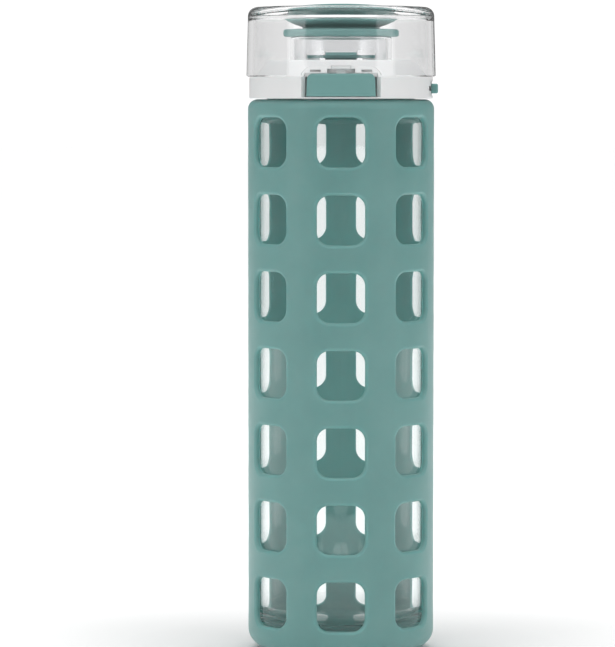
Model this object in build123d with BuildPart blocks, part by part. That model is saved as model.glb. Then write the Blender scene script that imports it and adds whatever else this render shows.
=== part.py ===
from build123d import *
import os
from math import asin, cos, degrees, hypot, radians, sin

# Glass water bottle with a silicone sleeve and a screw lid that carries a flip cover.
# Millimetres. Origin at the centre of the base, Z up, push button at -Y, cover hinge at +Y,
# lock knob at +X.

os.makedirs("parts", exist_ok=True)

# ---------------------------------------------------------------- bottle and sleeve
SLEEVE_R = 36.5
SLEEVE_WALL = 2.0
SLEEVE_TOP = 216.7
SLEEVE_TOP_ROUND = 3.8
SLEEVE_MOUTH_R = 31.0
FOOT_R = 25.9  # flat part of the base
FOOT_CURVE_TOP = 8.3  # height at which the rounded base meets the straight wall
STRETCH_GAP = 0.05  # between the glass and the sleeve stretched over it

WINDOW_ROWS, WINDOW_COLUMNS = 7, 7
WINDOW_W, WINDOW_H, WINDOW_CORNER = 18.5, 19.2, 5.0
WINDOW_FIRST_Z, WINDOW_PITCH = 20.95, 29.87
WINDOW_EDGE_ROUND = 1.2

GLASS_R = SLEEVE_R - SLEEVE_WALL - STRETCH_GAP
GLASS_INNER_R = 31.6
GLASS_FLOOR_TOP = 10.4  # thick moulded base
SHOULDER_Z = 208.1
SHOULDER_TOP = 214.6
NECK_R = 25.6
MOUTH_R = 22.5
NECK_TOP = 226.2

# ---------------------------------------------------------------- screw thread
PITCH = 4.2
THREAD_TURNS = 1.25
THREAD_Z = 218.6  # centre of the bottle thread where it starts
THREAD_MAJOR_R = 27.0
LINER_BORE_R = 27.35
LINER_CREST_R = 25.95

# ---------------------------------------------------------------- lid
COLLAR_R, COLLAR_INNER_R = 36.0, 34.0
COLLAR_BOTTOM, COLLAR_TOP = 217.0, 225.3
COLLAR_WEB = 1.4
LINER_R = 28.9
LINER_BOTTOM, LINER_FLOOR, LINER_TOP = 216.2, 227.8, 229.3
DECK_BOTTOM, DECK_TOP = 225.35, 231.9
DECK_RIM_R, DECK_TOP_R = 33.6, 29.2
DECK_RING_R, DECK_RING_INNER_R = 30.2, 29.0
DECK_FLANGE_Z = 217.3  # bottom of the flange that closes the collar's cavity
SPOUT_R, SPOUT_BORE_R, SPOUT_TOP = 19.9, 17.9, 241.1
SPOUT_FLANGE_R, SPOUT_FLANGE_Z = 21.9, 229.9
GASKET_Z, GASKET_T = 226.3, 1.4

# ---------------------------------------------------------------- flip cover and its hinge
COVER_RIM_Z, COVER_TOP = 225.5, 252.6
COVER_RIM_R, COVER_TOP_R = 37.1, 36.4
COVER_WALL = 2.35
COVER_PLATE_UNDER = 249.1
RECESS_R, RECESS_FLOOR = 22.9, 250.3
STOPPER_NECK_R = 15.1
STOPPER_SEAT_R = 21.1  # part of the stopper that fills the hole in the cover
PLUG_BOTTOM = 240.3
HINGE_Y, HINGE_Z = 34.6, 231.0
PIN_R, PIN_HALF = 1.0, 16.5
EAR_X0, EAR_X1, EAR_R = 7.5, 9.8, 3.8  # two ears of the cover that turn on the pin
LUG_X0, LUG_X1, LUG_R = 10.0, 16.6, 2.15  # two lugs of the deck that hold the pin
REAR_NOTCH_HALF, REAR_NOTCH_TOP = 17.6, 236.4
FRONT_NOTCH_HALF, FRONT_NOTCH_TOP, FRONT_NOTCH_ROUND = 15.35, 229.3, 4.6

# ---------------------------------------------------------------- push button and catch
BUTTON_HALF, BUTTON_BOTTOM, BUTTON_TOP = 13.3, 217.8, 226.6
BUTTON_R, BUTTON_BACK_R = 36.15, 34.2
BUTTON_ROUND = 2.3
BUTTON_TRAVEL = 1.4
BUTTON_STEP_ANGLE = 25.5  # half the step in the deck's rim that the button moves into
POCKET_HALF, POCKET_BOTTOM = 13.75, 217.45
LATCH_HALF, LATCH_BACK_Y, LATCH_TIP_Y = 3.6, -31.8, -33.4
LATCH_LIP_Z, LATCH_TOP = 228.4, 229.3
LATCH_STEM_HALF = 1.8
SLOT_HALF, SLOT_BACK_Y = 5.4, -30.4
DRAIN_X, DRAIN_HALF, DRAIN_Z0, DRAIN_Z1, DRAIN_BACK_Y = 9.9, 2.1, 227.2, 228.1, -28.9
SPRING_X, SPRING_Z, SPRING_R, SPRING_WIRE_R = 7.0, 221.6, 1.6, 0.22

# ---------------------------------------------------------------- lock slider
KNOB_ANGLE = 1.0  # degrees from +X toward +Y at rest
KNOB_SPAN = 11.0
KNOB_R = 38.0
KNOB_Z0, KNOB_Z1 = 219.0, 222.8
SLIDE_TRAVEL = 13.0  # degrees, toward the button
SLIDER_R0, SLIDER_R1 = 31.2, 33.6


def at_angle(radius, angle, z):
    """Point at a radius and an angle in degrees from +X."""
    return Vector(radius * cos(radians(angle)), radius * sin(radians(angle)), z)


def facing(radius, angle, z):
    """Plane that faces outward from the axis, its Y axis up."""
    outward = at_angle(1, angle, 0)
    return Plane(origin=at_angle(radius, angle, z), x_dir=Vector(0, 0, 1).cross(outward), z_dir=outward)


def turned(*corners, mode=Mode.ADD, plane=Plane.XZ):
    """Turn a closed section about the axis. A corner is (radius, height) or (radius, height, rounding)."""
    with BuildSketch(plane) as section:
        Polygon(*[corner[:2] for corner in corners], align=None)
        for radius, height, rounding in [corner for corner in corners if len(corner) == 3]:
            fillet(section.vertices().sort_by_distance((radius, height))[0], rounding)
    revolve(section.sketch, axis=Axis.Z, mode=mode)


def ring_sector(inner, outer, z0, z1, start, end, mode=Mode.ADD):
    """Piece of a ring between two heights, from one angle to another in degrees."""
    with BuildSketch(Plane.XY.offset(z0)) as sector:
        with BuildLine():
            CenterArc((0, 0), outer, start_angle=start, arc_size=end - start)
            CenterArc((0, 0), inner, start_angle=start, arc_size=end - start)
            for angle in (start, end):
                Line(at_angle(inner, angle, 0), at_angle(outer, angle, 0))
        make_face()
    extrude(sector.sketch, amount=z1 - z0, mode=mode)


def block(x0, x1, y0, y1, z0, z1, mode=Mode.ADD):
    """Box between two corners."""
    with Locations(((x0 + x1) / 2, (y0 + y1) / 2, (z0 + z1) / 2)):
        Box(x1 - x0, y1 - y0, z1 - z0, mode=mode)


def along_x(radius, x0, x1, y=HINGE_Y, z=HINGE_Z, mode=Mode.ADD):
    """Cylinder along X, on the hinge axis unless placed elsewhere."""
    with BuildSketch(Plane.YZ.offset(x0)) as disc:
        with Locations((y, z)):
            Circle(radius)
    extrude(disc.sketch, amount=x1 - x0, mode=mode)


def front_opening(half, z0, z1, rounding, depth0, depth1, mode=Mode.SUBTRACT):
    """Opening through the front wall with its two upper corners rounded."""
    with BuildSketch(Plane.XZ.offset(depth0)) as outline:
        Polygon((-half, z0), (half, z0), (half, z1), (-half, z1), align=None)
        fillet(outline.vertices().group_by(Axis.Y)[-1], rounding)
    extrude(outline.sketch, amount=depth1 - depth0, mode=mode)


def screw_ridge(start_z, phase, root_r, crest_r, root_w, crest_w):
    """Trapezoidal screw ridge of THREAD_TURNS turns, rising as it goes anticlockwise."""
    path = Edge.make_helix(PITCH, PITCH * THREAD_TURNS, root_r, center=(0, 0, start_z))
    path = path.rotate(Axis.Z, phase)
    with BuildSketch(Plane(path @ 0, x_dir=at_angle(1, phase, 0), z_dir=path % 0)) as ridge:
        rise = crest_r - root_r
        Polygon((0, -root_w / 2), (rise, -crest_w / 2), (rise, crest_w / 2), (0, root_w / 2), align=None)
    sweep(ridge.sketch, path=path, is_frenet=True)


def wire_coil(centre, direction, length, turns, coil_r, wire_r):
    """Round wire wound along a direction. Returns the wire's centreline."""
    path = Edge.make_helix(length / turns, length, coil_r, center=centre, normal=direction)
    with BuildSketch(Plane(path @ 0, z_dir=path % 0)) as wire:
        Circle(wire_r)
    sweep(wire.sketch, path=path, is_frenet=True)
    return path


# ================================================================ bottle
with BuildPart() as glass_bottle:
    with BuildSketch(Plane.YZ):
        with BuildLine():
            floor_z = SLEEVE_WALL
            Line((0, floor_z), (FOOT_R, floor_z))
            EllipticalCenterArc((FOOT_R, FOOT_CURVE_TOP), GLASS_R - FOOT_R, FOOT_CURVE_TOP - floor_z,
                                start_angle=-90, arc_size=90)
            Line((GLASS_R, FOOT_CURVE_TOP), (GLASS_R, SHOULDER_Z))
            EllipticalCenterArc((GLASS_R - 7.5, SHOULDER_Z), 7.5, SHOULDER_TOP - SHOULDER_Z,
                                start_angle=0, arc_size=90)
            Polyline((GLASS_R - 7.5, SHOULDER_TOP), (NECK_R, SHOULDER_TOP), (NECK_R, NECK_TOP),
                     (0, NECK_TOP), (0, floor_z))
        make_face()
    revolve(axis=Axis.Z)
    screw_ridge(THREAD_Z, 0, NECK_R - 0.05, THREAD_MAJOR_R, 2.6, 1.2)
    turned((0, GLASS_FLOOR_TOP + 0.6), (15, GLASS_FLOOR_TOP), (GLASS_INNER_R, GLASS_FLOOR_TOP, 8.0),
           (GLASS_INNER_R, SHOULDER_TOP - 2.6, 5.5), (MOUTH_R, SHOULDER_TOP - 1.4, 2.0),
           (MOUTH_R, NECK_TOP + 1), (0, NECK_TOP + 1), mode=Mode.SUBTRACT)
    fillet(glass_bottle.edges().group_by(Axis.Z)[-1], 0.7)
glass_bottle.part.label = "glass_bottle"
export_step(glass_bottle.part, "parts/glass_bottle.step")

with BuildPart() as silicone_sleeve:
    with BuildSketch(Plane.YZ):
        with BuildLine():
            Line((0, 0), (FOOT_R, 0))
            EllipticalCenterArc((FOOT_R, FOOT_CURVE_TOP), SLEEVE_R - FOOT_R, FOOT_CURVE_TOP,
                                start_angle=-90, arc_size=90)
            Line((SLEEVE_R, FOOT_CURVE_TOP), (SLEEVE_R, SLEEVE_TOP - SLEEVE_TOP_ROUND))
            CenterArc((SLEEVE_R - SLEEVE_TOP_ROUND, SLEEVE_TOP - SLEEVE_TOP_ROUND), SLEEVE_TOP_ROUND,
                      start_angle=0, arc_size=90)
            Polyline((SLEEVE_R - SLEEVE_TOP_ROUND, SLEEVE_TOP), (0, SLEEVE_TOP), (0, 0))
        make_face()
    revolve(axis=Axis.Z)
    with BuildSketch(Plane.YZ):
        with BuildLine():
            inner_r = SLEEVE_R - SLEEVE_WALL
            inner_top = SHOULDER_TOP + STRETCH_GAP
            Line((0, SLEEVE_WALL), (FOOT_R, SLEEVE_WALL))
            EllipticalCenterArc((FOOT_R, FOOT_CURVE_TOP), inner_r - FOOT_R, FOOT_CURVE_TOP - SLEEVE_WALL,
                                start_angle=-90, arc_size=90)
            Line((inner_r, FOOT_CURVE_TOP), (inner_r, SHOULDER_Z))
            EllipticalCenterArc((GLASS_R - 7.5, SHOULDER_Z), 7.5 + STRETCH_GAP, inner_top - SHOULDER_Z,
                                start_angle=0, arc_size=90)
            Polyline((GLASS_R - 7.5, inner_top), (0, inner_top), (0, SLEEVE_WALL))
        make_face()
    revolve(axis=Axis.Z, mode=Mode.SUBTRACT)
    turned((0, SHOULDER_Z), (SLEEVE_MOUTH_R, SHOULDER_Z), (SLEEVE_MOUTH_R, SLEEVE_TOP + 1),
           (0, SLEEVE_TOP + 1), mode=Mode.SUBTRACT)
    windows = [
        facing(30, -90 + 360 / WINDOW_COLUMNS * column, WINDOW_FIRST_Z + WINDOW_PITCH * row)
        for row in range(WINDOW_ROWS)
        for column in range(WINDOW_COLUMNS)
    ]
    with BuildSketch(*windows):
        RectangleRounded(WINDOW_W, WINDOW_H, WINDOW_CORNER)
    extrude(amount=10, mode=Mode.SUBTRACT)
    window_edges = [
        edge
        for edge in silicone_sleeve.edges()
        if edge.length < 3 * WINDOW_H
        and all(
            abs(hypot((edge @ along).X, (edge @ along).Y) - SLEEVE_R) < 0.02
            and FOOT_CURVE_TOP + 0.5 < (edge @ along).Z < SLEEVE_TOP - SLEEVE_TOP_ROUND - 0.5
            for along in (0, 0.5, 1)
        )
    ]
    fillet(window_edges, WINDOW_EDGE_ROUND)
silicone_sleeve.part.label = "silicone_sleeve"
export_step(silicone_sleeve.part, "parts/silicone_sleeve.step")

with BuildPart() as neck_gasket:
    turned((MOUTH_R - 0.3, GASKET_Z, 0.4), (LINER_BORE_R - 0.5, GASKET_Z, 0.4),
           (LINER_BORE_R - 0.5, GASKET_Z + GASKET_T, 0.4), (MOUTH_R - 0.3, GASKET_Z + GASKET_T, 0.4))
neck_gasket.part.label = "neck_gasket"
export_step(neck_gasket.part, "parts/neck_gasket.step")

# ================================================================ lid
with BuildPart() as thread_liner:
    turned((LINER_BORE_R, LINER_BOTTOM, 0.4), (LINER_R, LINER_BOTTOM, 0.4), (LINER_R, LINER_TOP, 0.8),
           (SPOUT_BORE_R + 0.3, LINER_TOP), (SPOUT_BORE_R + 0.3, LINER_FLOOR),
           (LINER_BORE_R, LINER_FLOOR, 0.4))
    screw_ridge(THREAD_Z - PITCH / 2 + PITCH / 4, 90, LINER_BORE_R + 0.05, LINER_CREST_R, 2.4, 1.0)
thread_liner.part.label = "thread_liner"
export_step(thread_liner.part, "parts/thread_liner.step")

with BuildPart() as lid_deck:
    turned((DECK_RIM_R, DECK_BOTTOM), (DECK_TOP_R, DECK_TOP, 1.6), (SPOUT_R + 0.15, DECK_TOP, 0.3),
           (SPOUT_R + 0.15, SPOUT_FLANGE_Z + 1.0), (SPOUT_FLANGE_R + 0.2, SPOUT_FLANGE_Z + 1.0),
           (SPOUT_FLANGE_R + 0.2, LINER_TOP + 0.9), (DECK_RING_INNER_R, LINER_TOP + 0.9),
           (DECK_RING_INNER_R, DECK_FLANGE_Z), (33.7, DECK_FLANGE_Z, 0.3), (33.7, DECK_FLANGE_Z + 1, 0.3),
           (DECK_RING_R, DECK_FLANGE_Z + 1, 0.3),
           (DECK_RING_R, 227.4, 0.3), (31.9, DECK_BOTTOM))
    # hinge lugs with their stems
    for side in (-1, 1):
        with BuildSketch(Plane.YZ.offset(side * (LUG_X0 + LUG_X1) / 2)):
            Polygon((28.2, 227.0), (33.6, 226.0), (HINGE_Y, HINGE_Z - LUG_R), (HINGE_Y, HINGE_Z + LUG_R),
                    (28.2, HINGE_Z + LUG_R), align=None)
            with Locations((HINGE_Y, HINGE_Z)):
                Circle(LUG_R)
        extrude(amount=(LUG_X1 - LUG_X0) / 2, both=True)
    along_x(PIN_R + 0.02, -LUG_X1 - 1, LUG_X1 + 1, mode=Mode.SUBTRACT)
    # steps in the rim and in the bottom flange that the button moves into
    for z0, z1 in ((DECK_BOTTOM - 1, BUTTON_TOP + 0.3), (DECK_FLANGE_Z - 1, DECK_FLANGE_Z + 2)):
        ring_sector(BUTTON_BACK_R - BUTTON_TRAVEL - 0.3, DECK_RIM_R + 2, z0, z1,
                    -90 - BUTTON_STEP_ANGLE, -90 + BUTTON_STEP_ANGLE, mode=Mode.SUBTRACT)
    # slot for the latch, wider below its lip, and a narrow drain slot each side of it
    block(-SLOT_HALF, SLOT_HALF, -36, SLOT_BACK_Y, DECK_BOTTOM - 1, LATCH_LIP_Z, mode=Mode.SUBTRACT)
    block(-LATCH_HALF - 0.25, LATCH_HALF + 0.25, -36, SLOT_BACK_Y, LATCH_LIP_Z - 0.5, LATCH_TOP + 0.25,
          mode=Mode.SUBTRACT)
    for side in (-1, 1):
        block(side * DRAIN_X - DRAIN_HALF, side * DRAIN_X + DRAIN_HALF, -36, DRAIN_BACK_Y, DRAIN_Z0, DRAIN_Z1,
              mode=Mode.SUBTRACT)
lid_deck.part.label = "lid_deck"
export_step(lid_deck.part, "parts/lid_deck.step")

with BuildPart() as lid_collar:
    turned((COLLAR_R, COLLAR_BOTTOM, 0.35), (COLLAR_R, COLLAR_TOP, 0.35), (DECK_RING_R + 0.1, COLLAR_TOP),
           (DECK_RING_R + 0.1, COLLAR_TOP - COLLAR_WEB), (COLLAR_INNER_R, COLLAR_TOP - COLLAR_WEB, 0.4),
           (COLLAR_INNER_R, COLLAR_BOTTOM))
    # pocket for the button, open at the top, with a bevel down each side
    block(-POCKET_HALF, POCKET_HALF, -40, -26, POCKET_BOTTOM, COLLAR_TOP + 1, mode=Mode.SUBTRACT)
    with BuildSketch(Plane.XY.offset(POCKET_BOTTOM)):
        for side in (-1, 1):
            Polygon((side * (POCKET_HALF - 0.5), -33.9), (side * (POCKET_HALF - 0.5), -40),
                    (side * (FRONT_NOTCH_HALF + 1.6), -40), (side * FRONT_NOTCH_HALF, -32.6),
                    (side * (POCKET_HALF - 0.5), -31.0), align=None)
    extrude(amount=12, mode=Mode.SUBTRACT)
    # shallow recess for the lock knob and the slot that its stem slides in
    knob_front = KNOB_ANGLE - KNOB_SPAN / 2 - SLIDE_TRAVEL
    knob_rear = KNOB_ANGLE + KNOB_SPAN / 2
    ring_sector(COLLAR_R - 0.7, COLLAR_R + 2, KNOB_Z0 - 0.9, KNOB_Z1 + 0.9, knob_front - 0.8, knob_rear + 0.8,
                mode=Mode.SUBTRACT)
    ring_sector(COLLAR_INNER_R - 2, COLLAR_R + 2, 220.0, 221.8, KNOB_ANGLE - 3 - SLIDE_TRAVEL, KNOB_ANGLE + 3,
                mode=Mode.SUBTRACT)
lid_collar.part.label = "lid_collar"
export_step(lid_collar.part, "parts/lid_collar.step")

with BuildPart() as spout:
    turned((SPOUT_BORE_R, SPOUT_FLANGE_Z), (SPOUT_FLANGE_R, SPOUT_FLANGE_Z),
           (SPOUT_FLANGE_R, SPOUT_FLANGE_Z + 0.95), (SPOUT_R, SPOUT_FLANGE_Z + 0.95),
           (SPOUT_R, SPOUT_TOP, 0.8), (SPOUT_BORE_R, SPOUT_TOP, 0.6))
spout.part.label = "spout"
export_step(spout.part, "parts/spout.step")

with BuildPart() as spout_seal:
    turned((SPOUT_BORE_R + 0.5, LINER_TOP), (SPOUT_FLANGE_R - 0.1, LINER_TOP),
           (SPOUT_FLANGE_R - 0.1, SPOUT_FLANGE_Z), (SPOUT_BORE_R + 0.5, SPOUT_FLANGE_Z))
spout_seal.part.label = "spout_seal"
export_step(spout_seal.part, "parts/spout_seal.step")

# ================================================================ hinge
CAP_R0, CAP_R1 = LUG_R + 0.05, 3.4
CROWN_R0, CROWN_R1, CROWN_HALF = 3.2, 4.6, 7.25
CAP_HALF, CAP_FRONT_Y = 16.8, 27.7

with BuildPart() as hinge_cap:
    # strip in front of the cover's ears
    with BuildSketch(Plane.XY.offset(HINGE_Z + CAP_R0)):
        with Locations((0, (CAP_FRONT_Y + 30.5) / 2)):
            RectangleRounded(2 * CAP_HALF, 30.5 - CAP_FRONT_Y, 1.2)
    extrude(amount=CAP_R1 - CAP_R0)
    # wings over the lugs
    for side in (-1, 1):
        x0, x1 = sorted((side * LUG_X0, side * CAP_HALF))
        with BuildSketch(Plane.YZ.offset(x0)):
            with Locations((HINGE_Y, HINGE_Z)):
                Circle(CAP_R1)
                Circle(CAP_R0, mode=Mode.SUBTRACT)
                Rectangle(20, 20, align=(Align.MAX, Align.CENTER), mode=Mode.SUBTRACT)
                Rectangle(20, 20, align=(Align.MIN, Align.MAX), mode=Mode.SUBTRACT)
            Polygon((29.5, HINGE_Z + CAP_R0), (HINGE_Y, HINGE_Z + CAP_R0), (HINGE_Y, HINGE_Z + CAP_R1),
                    (29.5, HINGE_Z + CAP_R1), align=None)
        extrude(amount=x1 - x0)
    # crown over the spring
    with BuildSketch(Plane.YZ.offset(-CROWN_HALF)):
        with Locations((HINGE_Y, HINGE_Z)):
            Circle(CROWN_R1)
        Polygon((30.4, HINGE_Z + CAP_R0), (33, HINGE_Z + CAP_R0), (33, HINGE_Z + CAP_R1),
                (30.4, HINGE_Z + CAP_R1), align=None)
        with Locations((HINGE_Y, HINGE_Z)):
            Circle(CROWN_R0, mode=Mode.SUBTRACT)
            Rectangle(20, 20, align=(Align.MIN, Align.MAX), mode=Mode.SUBTRACT)
        with Locations((HINGE_Y, HINGE_Z + 1.3)):
            Rectangle(20, 20, align=(Align.MAX, Align.MAX), mode=Mode.SUBTRACT)
    extrude(amount=2 * CROWN_HALF)
hinge_cap.part.label = "hinge_cap"
export_step(hinge_cap.part, "parts/hinge_cap.step")

with BuildPart() as hinge_pin:
    along_x(PIN_R, -PIN_HALF, PIN_HALF)
    chamfer(hinge_pin.edges().filter_by(GeomType.CIRCLE), 0.25)
hinge_pin.part.label = "hinge_pin"
export_step(hinge_pin.part, "parts/hinge_pin.step")

HINGE_COIL_R, HINGE_WIRE_R, HINGE_COIL_HALF = 2.0, 0.35, 4.6
with BuildPart() as hinge_spring:
    coil = wire_coil((-HINGE_COIL_HALF, HINGE_Y, HINGE_Z), (1, 0, 0), 2 * HINGE_COIL_HALF, 7,
                     HINGE_COIL_R, HINGE_WIRE_R)
    # straight tails toward the ears
    for end, side in ((coil @ 0, -1), (coil @ 1, 1)):
        x0, x1 = sorted((side * (HINGE_COIL_HALF - 0.1), side * (EAR_X0 - 0.5)))
        along_x(HINGE_WIRE_R, x0, x1, y=end.Y, z=end.Z)
hinge_spring.part.label = "hinge_spring"
export_step(hinge_spring.part, "parts/hinge_spring.step")

# ================================================================ flip cover
with BuildPart() as flip_cover:
    inner_rim_r, inner_top_r = COVER_RIM_R - COVER_WALL, COVER_TOP_R - COVER_WALL
    turned((COVER_RIM_R - 0.4, COVER_RIM_Z), (COVER_RIM_R, COVER_RIM_Z + 0.4), (COVER_TOP_R, COVER_TOP, 3.6),
           (RECESS_R, COVER_TOP + 0.25, 0.4), (RECESS_R - 0.1, RECESS_FLOOR), (STOPPER_SEAT_R + 0.1, RECESS_FLOOR),
           (STOPPER_SEAT_R + 0.1, COVER_PLATE_UNDER), (inner_top_r, COVER_PLATE_UNDER, 2.0),
           (inner_rim_r, COVER_RIM_Z + 0.3), (inner_rim_r + 0.3, COVER_RIM_Z))
    front_opening(FRONT_NOTCH_HALF, COVER_RIM_Z - 5, FRONT_NOTCH_TOP, FRONT_NOTCH_ROUND, 26, 40)
    front_opening(REAR_NOTCH_HALF, COVER_RIM_Z - 5, REAR_NOTCH_TOP, 1.5, -40, -20)
    # ears that turn on the hinge pin
    for side in (-1, 1):
        with BuildSketch(Plane.YZ.offset(side * (EAR_X0 + EAR_X1) / 2)):
            with Locations((HINGE_Y, HINGE_Z)):
                Circle(EAR_R)
            Polygon((31.6, HINGE_Z), (36.2, HINGE_Z), (35.4, 238.0), (31.6, 238.0), align=None)
        extrude(amount=(EAR_X1 - EAR_X0) / 2, both=True)
    along_x(PIN_R + 0.06, -12, 12, mode=Mode.SUBTRACT)
    # catch loop behind the front wall
    for side in (-1, 1):
        block(side * 4.8 - 0.6, side * 4.8 + 0.6, -35.4, -33.7, 227.3, 231.0)
    block(-5.4, 5.4, -34.9, -33.7, 227.3, 228.1)
flip_cover.part.label = "flip_cover"
export_step(flip_cover.part, "parts/flip_cover.step")

with BuildPart() as stopper:
    turned((0, PLUG_BOTTOM), (16.9, PLUG_BOTTOM, 0.6), (17.2, SPOUT_TOP + 0.1), (22.6, SPOUT_TOP + 0.1, 0.8),
           (22.6, 244.0, 0.9), (STOPPER_NECK_R, 244.0), (STOPPER_NECK_R, 244.9, 0.4), (18.0, 245.9),
           (20.9, 247.2), (22.0, 248.3), (22.0, COVER_PLATE_UNDER), (STOPPER_SEAT_R, COVER_PLATE_UNDER),
           (STOPPER_SEAT_R, 251.3), (0, 251.3))
stopper.part.label = "stopper"
export_step(stopper.part, "parts/stopper.step")

DISC_R, DISC_EDGE_R, DISC_TOP, DOME_R = 22.5, 19.7, 254.0, 185.0
with BuildPart() as stopper_cap:
    with BuildSketch(Plane.XZ):
        with BuildLine():
            slope = degrees(asin(DISC_EDGE_R / DOME_R))
            dome = CenterArc((0, DISC_TOP - DOME_R), DOME_R, start_angle=90 - slope, arc_size=slope)
            Polyline(dome @ 1, (0, 251.3), (STOPPER_SEAT_R + 0.05, 251.3),
                     (STOPPER_SEAT_R + 0.05, RECESS_FLOOR), (DISC_R, RECESS_FLOOR), (DISC_R, 251.4))
            ThreePointArc((DISC_R, 251.4), (DISC_R - 0.7, 252.4), dome @ 0)
        make_face()
    revolve(axis=Axis.Z)
stopper_cap.part.label = "stopper_cap"
export_step(stopper_cap.part, "parts/stopper_cap.step")

# ================================================================ push button
with BuildPart() as release_button:
    turned((BUTTON_BACK_R, BUTTON_BOTTOM), (BUTTON_R, BUTTON_BOTTOM, 0.4), (BUTTON_R, BUTTON_TOP, 0.6),
           (BUTTON_BACK_R, BUTTON_TOP))
    with BuildSketch(Plane.XZ.offset(20)) as face:
        Polygon((-BUTTON_HALF, BUTTON_BOTTOM), (BUTTON_HALF, BUTTON_BOTTOM),
                (BUTTON_HALF - 0.3, BUTTON_TOP), (0.3 - BUTTON_HALF, BUTTON_TOP), align=None)
        fillet(face.vertices().group_by(Axis.Y)[-1], BUTTON_ROUND)
    extrude(amount=20, mode=Mode.INTERSECT)
    # bosses that seat the springs
    for side in (-1, 1):
        with BuildSketch(Plane.XZ.offset(32.4)):
            with Locations((side * SPRING_X, SPRING_Z)):
                Circle(1.1)
        extrude(amount=1.6)
release_button.part.label = "release_button"
export_step(release_button.part, "parts/release_button.step")

with BuildPart() as latch_plate:
    block(-3.3, 3.3, -34.03, LATCH_BACK_Y, 218.6, 225.2)
    block(-LATCH_STEM_HALF, LATCH_STEM_HALF, -32.7, LATCH_BACK_Y, 225.0, LATCH_TOP)
    block(-LATCH_HALF, LATCH_HALF, LATCH_TIP_Y, LATCH_BACK_Y, LATCH_LIP_Z, LATCH_TOP)
    fillet(latch_plate.edges().filter_by(Axis.X).sort_by(Axis.Z)[-2:], 0.2)
latch_plate.part.label = "latch_plate"
export_step(latch_plate.part, "parts/latch_plate.step")

with BuildPart() as button_springs:
    for side in (-1, 1):
        wire_coil((side * SPRING_X, -29.95, SPRING_Z), (0, -1, 0), 3.1, 5, SPRING_R, SPRING_WIRE_R)
button_springs.part.label = "button_springs"
export_step(button_springs.part, "parts/button_springs.step")

# ================================================================ lock slider
with BuildPart() as lock_slider:
    ring_sector(SLIDER_R0, SLIDER_R1, 219.0, 222.8, -49, 6)
    ring_sector(30.5, 31.7, 219.0, 222.8, -57, -48)
    ring_sector(SLIDER_R1 - 0.5, COLLAR_R - 0.55, 220.15, 221.65, KNOB_ANGLE - 2.6, KNOB_ANGLE + 2.6)
lock_slider.part.label = "lock_slider"
export_step(lock_slider.part, "parts/lock_slider.step")

with BuildPart() as lock_knob:
    ring_sector(COLLAR_R - 0.55, KNOB_R, KNOB_Z0, KNOB_Z1, KNOB_ANGLE - KNOB_SPAN / 2,
                KNOB_ANGLE + KNOB_SPAN / 2)
    outer_edges = [
        edge for edge in lock_knob.edges() if hypot((edge @ 0.5).X, (edge @ 0.5).Y) > COLLAR_R + 0.3
    ]
    fillet(outer_edges, 0.7)
lock_knob.part.label = "lock_knob"
export_step(lock_knob.part, "parts/lock_knob.step")
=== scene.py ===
import math

import bpy
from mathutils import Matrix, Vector

# Looks, floor, light and camera of a glass water bottle. Metres, Z up, push button at -Y.

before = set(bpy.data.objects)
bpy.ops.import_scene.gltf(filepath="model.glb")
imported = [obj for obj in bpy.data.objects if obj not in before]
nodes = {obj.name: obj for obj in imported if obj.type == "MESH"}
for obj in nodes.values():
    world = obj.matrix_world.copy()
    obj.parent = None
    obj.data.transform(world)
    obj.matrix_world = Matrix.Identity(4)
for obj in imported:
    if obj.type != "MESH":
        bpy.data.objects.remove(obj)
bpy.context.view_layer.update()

# ---- driving values --------------------------------------------------------------------------

TEAL_RUBBER = (0.160, 0.335, 0.320)
TEAL_PLASTIC = (0.150, 0.330, 0.315)
WHITE_PLASTIC = (0.80, 0.81, 0.81)
LATCH_WHITE = (0.86, 0.87, 0.87)
SEAL_GREY = (0.70, 0.71, 0.71)
BOTTLE_TINT = (0.935, 0.960, 0.957)
COVER_TINT = (0.995, 0.996, 0.998)
SPOUT_TINT = (0.95, 0.955, 0.96)
STEEL_DARK, STEEL_LIGHT = (0.52, 0.53, 0.55), (0.74, 0.75, 0.77)
PURE_WHITE = (1.0, 1.0, 1.0, 1.0)

GLASS_IOR, ACRYLIC_IOR = 1.42, 1.49
CLOUD_SCALE, PATCH_SCALE, WAVE_SCALE = 55.0, 140.0, 260.0  # of the noises on moulded pieces
SMEAR_SCALE = 220.0
SCRATCH_SCALE = 3500.0
COAT_ROUGHNESS = 0.28
SKIN_RADIUS = (0.55, 1.0, 1.0)  # how far red, green and blue light spread below a surface

FLOOR_HALF_WIDTH, FLOOR_FRONT, FLOOR_BACK = 2.0, -0.5, 14.0
FLOOR_GREY = (0.93, 0.93, 0.93, 1.0)
# painted shade on the floor: no glow within GLOW_START of the bottle's axis, full GLOW_LEVEL from GLOW_FULL
GLOW_START, GLOW_FULL, GLOW_LEVEL = 0.03, 0.25, 0.32  # distances from the bottle's axis

MIDDLE = (0.0, 0.0, 0.13)
FILL_PLACE, FILL_FORWARD = (0.0, 0.0, 0.11), 0.8
FILL_WIDTH, FILL_HEIGHT, FILL_POWER = 0.04, 0.18, 0.016

SIDE_LEVEL, BEHIND_LEVEL, DIMMED_LEVEL = 0.20, 0.80, 0.15
ABOVE_LEVEL, AHEAD_LEVEL = 2.9, 0.30
ROOM_LEVEL, THROUGH_LEVEL, SEEN_LEVEL = 0.56, 0.86, 1.05

LENS, SENSOR_WIDTH = 206.76, 36.0
CAMERA_PLACE = (0.0, -1.460, 0.2184)
CAMERA_TILT, CAMERA_PAN = -3.52, 0.5165  # degrees, from level and from +Y


# ---- node helpers ----------------------------------------------------------------------------

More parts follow.
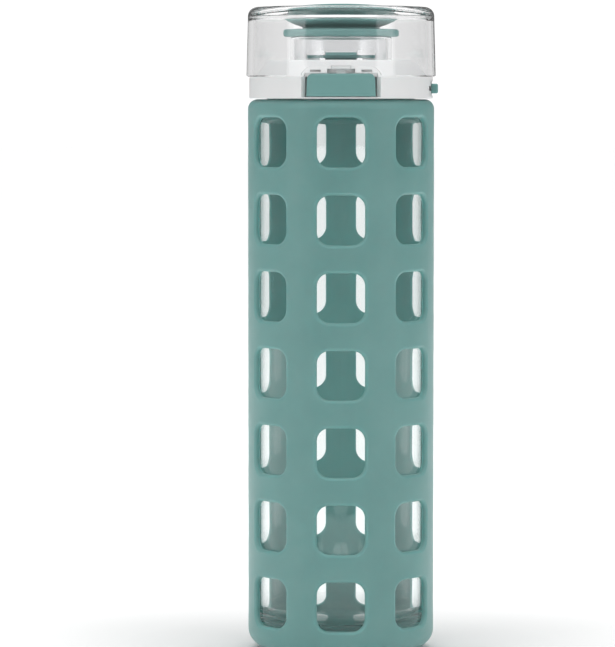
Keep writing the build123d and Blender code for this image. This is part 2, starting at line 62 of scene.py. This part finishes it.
def new_material(name):
    """A node material with a bare Principled shader: material, tree, shader and object coordinates."""
    material = bpy.data.materials.new(name)
    material.use_nodes = True
    tree = material.node_tree
    tree.nodes.clear()
    output = tree.nodes.new("ShaderNodeOutputMaterial")
    shader = tree.nodes.new("ShaderNodeBsdfPrincipled")
    tree.links.new(shader.outputs["BSDF"], output.inputs["Surface"])
    coords = tree.nodes.new("ShaderNodeTexCoord")
    return material, tree, shader, coords.outputs["Object"]


def noise(tree, vector, scale, detail=2.0, roughness=0.5):
    node = tree.nodes.new("ShaderNodeTexNoise")
    node.inputs["Scale"].default_value = scale
    node.inputs["Detail"].default_value = detail
    node.inputs["Roughness"].default_value = roughness
    tree.links.new(vector, node.inputs["Vector"])
    return node.outputs["Fac"]


def stretched(tree, vector, scale):
    node = tree.nodes.new("ShaderNodeMapping")
    node.inputs["Scale"].default_value = scale
    tree.links.new(vector, node.inputs["Vector"])
    return node.outputs["Vector"]


def ramp(tree, value, start, end, first, last, smooth=True):
    """Maps a value from start to end onto first to last."""
    node = tree.nodes.new("ShaderNodeMapRange")
    node.interpolation_type = "SMOOTHSTEP" if smooth else "LINEAR"
    node.inputs["From Min"].default_value = start
    node.inputs["From Max"].default_value = end
    node.inputs["To Min"].default_value = first
    node.inputs["To Max"].default_value = last
    tree.links.new(value, node.inputs["Value"])
    return node.outputs["Result"]


def spread(tree, value, low, high):
    """Maps a noise value from its usual 0.3 to 0.7 onto low to high."""
    return ramp(tree, value, 0.3, 0.7, low, high, smooth=False)


def math_node(tree, operation, first, second=None):
    node = tree.nodes.new("ShaderNodeMath")
    node.operation = operation
    tree.links.new(first, node.inputs[0])
    if second is not None:
        tree.links.new(second, node.inputs[1])
    return node.outputs[0]


def mixed(tree, factor, first, second):
    """First shader where the factor is 0, second where it is 1."""
    node = tree.nodes.new("ShaderNodeMixShader")
    tree.links.new(factor, node.inputs[0])
    tree.links.new(first, node.inputs[1])
    tree.links.new(second, node.inputs[2])
    return node.outputs[0]


def two_tone(tree, factor, first, second):
    node = tree.nodes.new("ShaderNodeMix")
    node.data_type = "RGBA"
    tree.links.new(factor, node.inputs[0])
    node.inputs[6].default_value = (*first, 1.0)
    node.inputs[7].default_value = (*second, 1.0)
    return node.outputs[2]


def bump(tree, height, depth, strength, under=None):
    node = tree.nodes.new("ShaderNodeBump")
    node.inputs["Strength"].default_value = strength
    node.inputs["Distance"].default_value = depth
    tree.links.new(height, node.inputs["Height"])
    if under is not None:
        tree.links.new(under, node.inputs["Normal"])
    return node.outputs["Normal"]


def dress(material, *names):
    """Gives the material to those CAD nodes, in every material slot they have."""
    for name in names:
        mesh = nodes[name].data
        if not mesh.materials:
            mesh.materials.append(material)
        for i in range(len(mesh.materials)):
            mesh.materials[i] = material


# ---- materials -------------------------------------------------------------------------------

def moulded(name, colour, vary, roughness, grain, depth, coat=0.0, gloss=0.5, soft=0.0, deep=0.0012):
    """Moulded rubber or plastic: a faint cloud of a second tone, uneven gloss and a fine grain."""
    material, tree, shader, place = new_material(name)
    cloud = spread(tree, noise(tree, place, CLOUD_SCALE, 4.0), 0.0, 1.0)
    darker = [c * (1.0 - vary) for c in colour]
    lighter = [c + (1.0 - c) * vary * 0.35 for c in colour]
    tree.links.new(two_tone(tree, cloud, darker, lighter), shader.inputs["Base Color"])
    patches = noise(tree, place, PATCH_SCALE, 3.0, 0.6)
    uneven = spread(tree, patches, roughness - 0.05, roughness + 0.05)
    tree.links.new(uneven, shader.inputs["Roughness"])
    wave = bump(tree, noise(tree, place, WAVE_SCALE), depth * 3.0, 0.35)
    fine = bump(tree, noise(tree, place, grain, 3.0, 0.65), depth, 0.8, under=wave)
    tree.links.new(fine, shader.inputs["Normal"])
    shader.inputs["Coat Weight"].default_value = coat
    shader.inputs["Coat Roughness"].default_value = COAT_ROUGHNESS
    shader.inputs["Specular IOR Level"].default_value = gloss
    shader.inputs["Subsurface Weight"].default_value = soft
    shader.inputs["Subsurface Radius"].default_value = SKIN_RADIUS
    shader.inputs["Subsurface Scale"].default_value = deep
    return material


def clear(name, tint, ior, smear, wave_scale, wave_depth):
    """Clear glass or plastic: its walls wave slightly, and its gloss has faint smears."""
    material, tree, shader, place = new_material(name)
    shader.inputs["Base Color"].default_value = (*tint, 1.0)
    shader.inputs["Transmission Weight"].default_value = 1.0
    shader.inputs["IOR"].default_value = ior
    smears = noise(tree, stretched(tree, place, (1.0, 1.0, 0.25)), SMEAR_SCALE, 5.0, 0.6)
    tree.links.new(spread(tree, smears, 0.0, smear), shader.inputs["Roughness"])
    wave = bump(tree, noise(tree, place, wave_scale, 1.0), wave_depth, 0.6)
    tree.links.new(wave, shader.inputs["Normal"])
    let_light_through(tree, shader, tint)
    return material


def let_light_through(tree, shader, tint):
    """Lamps and bounced light pass straight through the clear wall and light what is behind it."""
    output = next(node for node in tree.nodes if node.type == "OUTPUT_MATERIAL")
    path = tree.nodes.new("ShaderNodeLightPath")
    either = math_node(tree, "MAXIMUM", path.outputs["Is Shadow Ray"], path.outputs["Is Diffuse Ray"])
    open_air = tree.nodes.new("ShaderNodeBsdfTransparent")
    open_air.inputs["Color"].default_value = (*tint, 1.0)
    surface = mixed(tree, either, shader.outputs["BSDF"], open_air.outputs["BSDF"])
    tree.links.new(surface, output.inputs["Surface"])


def polished_steel(name):
    """Drawn steel wire and rod, with fine scratches drawn out along X."""
    material, tree, shader, place = new_material(name)
    shader.inputs["Metallic"].default_value = 1.0
    lines = noise(tree, stretched(tree, place, (0.15, 1.0, 1.0)), SCRATCH_SCALE, 4.0, 0.7)
    tone = two_tone(tree, spread(tree, lines, 0.0, 1.0), STEEL_DARK, STEEL_LIGHT)
    tree.links.new(tone, shader.inputs["Base Color"])
    tree.links.new(spread(tree, lines, 0.18, 0.34), shader.inputs["Roughness"])
    tree.links.new(bump(tree, lines, 0.00002, 0.5), shader.inputs["Normal"])
    return material


def dress_rubber():
    sleeve = moulded("sleeve_silicone", TEAL_RUBBER, vary=0.05, roughness=0.48, grain=2600.0, depth=0.00003,
                     coat=0.25, gloss=0.25, soft=1.0, deep=0.0030)
    stopper = moulded("stopper_silicone", TEAL_RUBBER, vary=0.05, roughness=0.50, grain=2600.0,
                      depth=0.00003, soft=0.15)
    seal = moulded("seal_silicone", SEAL_GREY, vary=0.06, roughness=0.50, grain=2200.0, depth=0.00003,
                   soft=0.2)
    dress(sleeve, "silicone_sleeve")
    dress(stopper, "stopper")
    dress(seal, "neck_gasket", "spout_seal")


def dress_white_plastic():
    lid = moulded("white_lid_plastic", WHITE_PLASTIC, vary=0.04, roughness=0.36, grain=1800.0,
                  depth=0.00002, soft=0.1)
    inner = moulded("white_inner_plastic", WHITE_PLASTIC, vary=0.05, roughness=0.42, grain=1800.0,
                    depth=0.00002, soft=0.1)
    latch = moulded("white_latch_plastic", LATCH_WHITE, vary=0.04, roughness=0.32, grain=1800.0,
                    depth=0.00002)
    dress(lid, "lid_deck", "lid_collar")
    dress(inner, "thread_liner", "lock_slider")
    dress(latch, "latch_plate")


def dress_teal_plastic():
    cap = moulded("teal_cap_plastic", TEAL_PLASTIC, vary=0.04, roughness=0.46, grain=2000.0,
                  depth=0.00002, gloss=0.2)
    button = moulded("teal_button_plastic", TEAL_PLASTIC, vary=0.04, roughness=0.42, grain=2400.0,
                     depth=0.00003)
    dress(cap, "stopper_cap", "hinge_cap", "lock_knob")
    dress(button, "release_button")


def dress_clear():
    dress(clear("bottle_glass", BOTTLE_TINT, GLASS_IOR, smear=0.03, wave_scale=70.0, wave_depth=0.00008),
          "glass_bottle")
    dress(clear("cover_plastic", COVER_TINT, ACRYLIC_IOR, smear=0.03, wave_scale=45.0, wave_depth=0.00005),
          "flip_cover")
    dress(clear("spout_plastic", SPOUT_TINT, ACRYLIC_IOR, smear=0.04, wave_scale=60.0, wave_depth=0.00005),
          "spout")


# ---- floor, light and camera -----------------------------------------------------------------

def pale_floor():
    """White floor around and behind the bottle. Its glow fades near the bottle: painted shade at the foot,
    on top of its real shade.
    """
    corners = [
        (-FLOOR_HALF_WIDTH, FLOOR_FRONT, 0.0),
        (FLOOR_HALF_WIDTH, FLOOR_FRONT, 0.0),
        (FLOOR_HALF_WIDTH, FLOOR_BACK, 0.0),
        (-FLOOR_HALF_WIDTH, FLOOR_BACK, 0.0),
    ]
    mesh = bpy.data.meshes.new("floor")
    mesh.from_pydata(corners, [], [(0, 1, 2, 3)])
    floor = bpy.data.objects.new("floor", mesh)
    bpy.context.scene.collection.objects.link(floor)
    material, tree, shader, place = new_material("pale_floor")
    distance = tree.nodes.new("ShaderNodeVectorMath")
    distance.operation = "LENGTH"
    tree.links.new(place, distance.inputs[0])
    # painted shade: the glow drops to nothing near the bottle, so the floor there is darker than elsewhere
    glow_and_painted_shade = ramp(tree, distance.outputs["Value"], GLOW_START, GLOW_FULL, 0.0, GLOW_LEVEL)
    tree.links.new(glow_and_painted_shade, shader.inputs["Emission Strength"])
    shader.inputs["Emission Color"].default_value = PURE_WHITE
    shader.inputs["Base Color"].default_value = FLOOR_GREY
    shader.inputs["Roughness"].default_value = 0.7
    mesh.materials.append(material)


def area_light(name, place, aim, width, height, power):
    data = bpy.data.lights.new(name, "AREA")
    data.shape = "RECTANGLE"
    data.size = width
    data.size_y = height
    data.energy = power
    lamp = bpy.data.objects.new(name, data)
    bpy.context.scene.collection.objects.link(lamp)
    lamp.location = place
    lamp.rotation_euler = (Vector(aim) - Vector(place)).to_track_quat("-Z", "Y").to_euler()
    return lamp


def studio_lamps():
    """A tall softbox at each side of the front, a wide one above, and two lamps inside the sleeve."""
    area_light("softbox_left", (-1.45, -0.95, 0.75), MIDDLE, 0.8, 1.6, 7.2)
    area_light("softbox_right", (1.45, -0.95, 0.75), MIDDLE, 0.8, 1.6, 6.5)
    area_light("softbox_top", (0.0, 0.1, 1.9), MIDDLE, 1.2, 1.2, 6.0)
    for side in (-1.0, 1.0):
        aim = (side, FILL_FORWARD, FILL_PLACE[2])
        name = f"fill_inside_{side:+.0f}"
        fill = area_light(name, FILL_PLACE, aim, FILL_WIDTH, FILL_HEIGHT, FILL_POWER)
        fill.visible_camera = False
        fill.visible_glossy = False
        fill.visible_transmission = False


def background(tree, strength, colour=None):
    """White surroundings of that strength, or shaded by a colour socket."""
    node = tree.nodes.new("ShaderNodeBackground")
    node.inputs["Color"].default_value = PURE_WHITE
    node.inputs["Strength"].default_value = strength
    if colour is not None:
        tree.links.new(colour, node.inputs["Color"])
    return node.outputs[0]


def studio_world():
    """White surroundings, dimmer at the sides, behind the camera and behind the bottle, and bright overhead.

    What has passed through a clear wall sees a second version, darker behind the camera, and the camera
    sees plain white.
    """
    world = bpy.data.worlds.new("studio")
    world.use_nodes = True
    bpy.context.scene.world = world
    tree = world.node_tree
    tree.nodes.clear()
    output = tree.nodes.new("ShaderNodeOutputWorld")
    path = tree.nodes.new("ShaderNodeLightPath")
    coords = tree.nodes.new("ShaderNodeTexCoord")
    split = tree.nodes.new("ShaderNodeSeparateXYZ")
    tree.links.new(coords.outputs["Generated"], split.inputs[0])
    beside = ramp(tree, math_node(tree, "ABSOLUTE", split.outputs["X"]), 0.5, 0.9, 1.0, SIDE_LEVEL)
    behind = ramp(tree, split.outputs["Y"], -0.95, -0.45, BEHIND_LEVEL, 1.0)
    dimmed = ramp(tree, split.outputs["Y"], -0.95, -0.45, DIMMED_LEVEL, 1.0)
    above = ramp(tree, split.outputs["Z"], 0.6, 0.9, 1.0, ABOVE_LEVEL)
    ahead = ramp(tree, split.outputs["Y"], 0.1, 0.8, 1.0, AHEAD_LEVEL)
    front = math_node(tree, "MULTIPLY", beside, behind)
    rest = math_node(tree, "MULTIPLY", above, ahead)
    room = background(tree, ROOM_LEVEL, math_node(tree, "MULTIPLY", front, rest))
    through = background(tree, THROUGH_LEVEL, math_node(tree, "MULTIPLY", beside, dimmed))
    seen = background(tree, SEEN_LEVEL)
    lit = mixed(tree, path.outputs["Is Transmission Ray"], room, through)
    surface = mixed(tree, path.outputs["Is Camera Ray"], lit, seen)
    tree.links.new(surface, output.inputs["Surface"])


def front_camera():
    data = bpy.data.cameras.new("camera")
    data.lens = LENS
    data.sensor_width = SENSOR_WIDTH
    camera = bpy.data.objects.new("camera", data)
    bpy.context.scene.collection.objects.link(camera)
    camera.location = CAMERA_PLACE
    camera.rotation_euler = (math.radians(90.0 + CAMERA_TILT), 0.0, math.radians(CAMERA_PAN))
    bpy.context.scene.camera = camera


def enough_bounces():
    """The stacked clear walls of the lid turn black in places with the usual limits."""
    limits = bpy.context.scene.cycles
    limits.max_bounces = 24
    limits.glossy_bounces = 16
    limits.transmission_bounces = 24
    limits.transparent_max_bounces = 32


dress_rubber()
dress_white_plastic()
dress_teal_plastic()
dress_clear()
dress(polished_steel("bright_steel"), "hinge_pin", "hinge_spring", "button_springs")

pale_floor()
studio_world()
studio_lamps()
front_camera()
enough_bounces()
bpy.context.scene.view_settings.view_transform = "Standard"
